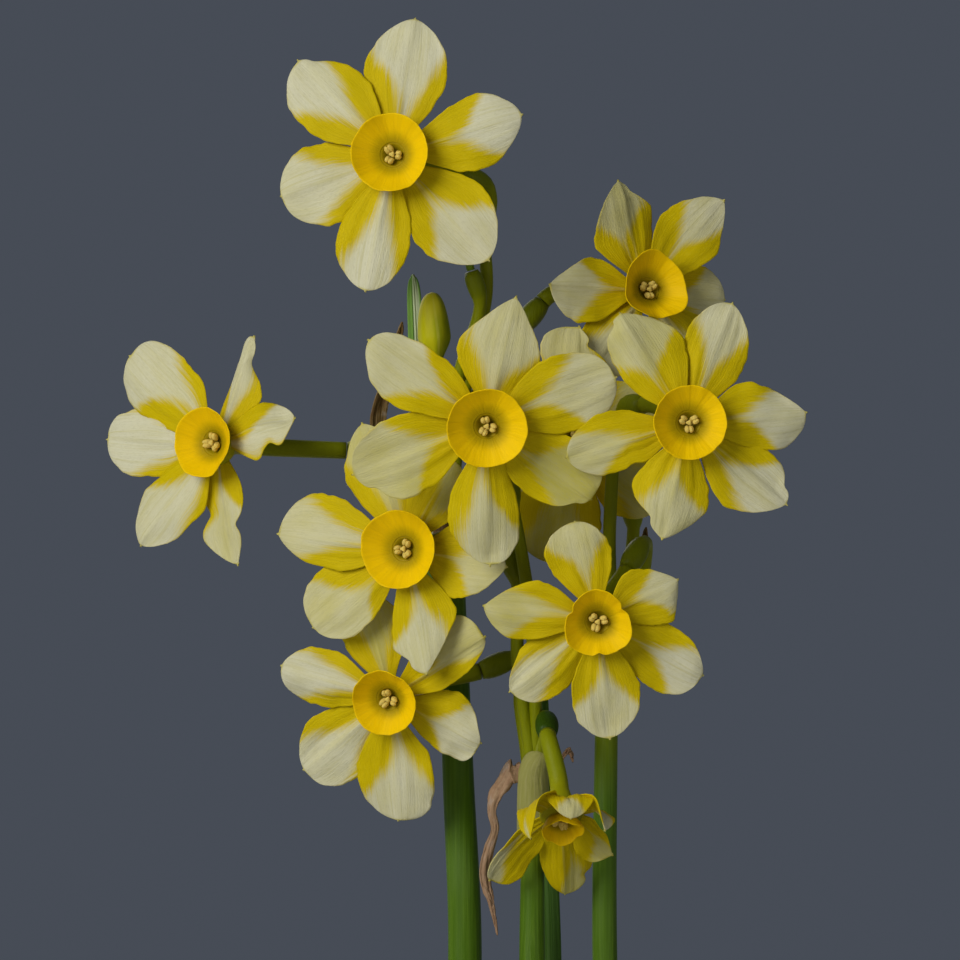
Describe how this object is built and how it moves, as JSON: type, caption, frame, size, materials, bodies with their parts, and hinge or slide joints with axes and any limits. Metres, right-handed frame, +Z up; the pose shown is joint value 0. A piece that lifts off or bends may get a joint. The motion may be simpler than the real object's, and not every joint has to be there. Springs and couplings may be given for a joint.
{
  "type": "potted daffodil",
  "caption": "Potted daffodil with pale yellow, small-cupped flowers in clusters on slim green stems, over strap leaves in a plain round clay pot.",
  "frame": {"origin": "middle of the pot's underside, on the floor that it stands on", "axes": "+Z up along the stems, -Y towards the side that most of the flowers look to, +X to their right as seen from there"},
  "size_m": [0.1896, 0.1534, 0.429],
  "materials": {
    "clay": "matt",
    "soil": "matt",
    "tunic": "matt",
    "stem": "satin",
    "leaf": "satin",
    "petal": "satin",
    "cup": "satin",
    "pollen": "matt",
    "bud": "satin",
    "paper": "matt"
  },
  "bodies": {
    "root": {"bloom_01_cup": "cup", "bloom_01_stamens": "pollen", "bloom_01_tepals": "petal", "bloom_02_cup": "cup", "bloom_02_stamens": "pollen", "bloom_02_tepals": "petal", "bloom_03_cup": "cup", "bloom_03_stamens": "pollen", "bloom_03_tepals": "petal", "bloom_04_cup": "cup", "bloom_04_stamens": "pollen", "bloom_04_tepals": "petal", "bloom_05_cup": "cup", "bloom_05_stamens": "pollen", "bloom_05_tepals": "petal", "bloom_06_cup": "cup", "bloom_06_stamens": "pollen", "bloom_06_tepals": "petal", "bloom_07_cup": "cup", "bloom_07_stamens": "pollen", "bloom_07_tepals": "petal", "bloom_08_cup": "cup", "bloom_08_stamens": "pollen", "bloom_08_tepals": "petal", "bloom_09_cup": "cup", "bloom_09_stamens": "pollen", "bloom_09_tepals": "petal", "bloom_10_cup": "cup", "bloom_10_stamens": "pollen", "bloom_10_tepals": "petal", "bract_01": "paper", "bract_02": "paper", "bract_03": "paper", "bud_01": "bud", "bud_02": "bud", "bulb_01": "tunic", "bulb_02": "tunic", "bulb_03": "tunic", "leaf_01": "leaf", "leaf_02": "leaf", "leaf_03": "leaf", "leaf_04": "leaf", "leaf_05": "leaf", "leaf_06": "leaf", "leaf_07": "leaf", "leaf_08": "leaf", "leaf_09": "leaf", "leaf_10": "leaf", "leaf_11": "leaf", "leaf_12": "leaf", "pot": "clay", "soil": "soil", "stem_01": "stem", "stem_02": "stem", "stem_03": "stem"}
  },
  "joints": []
}
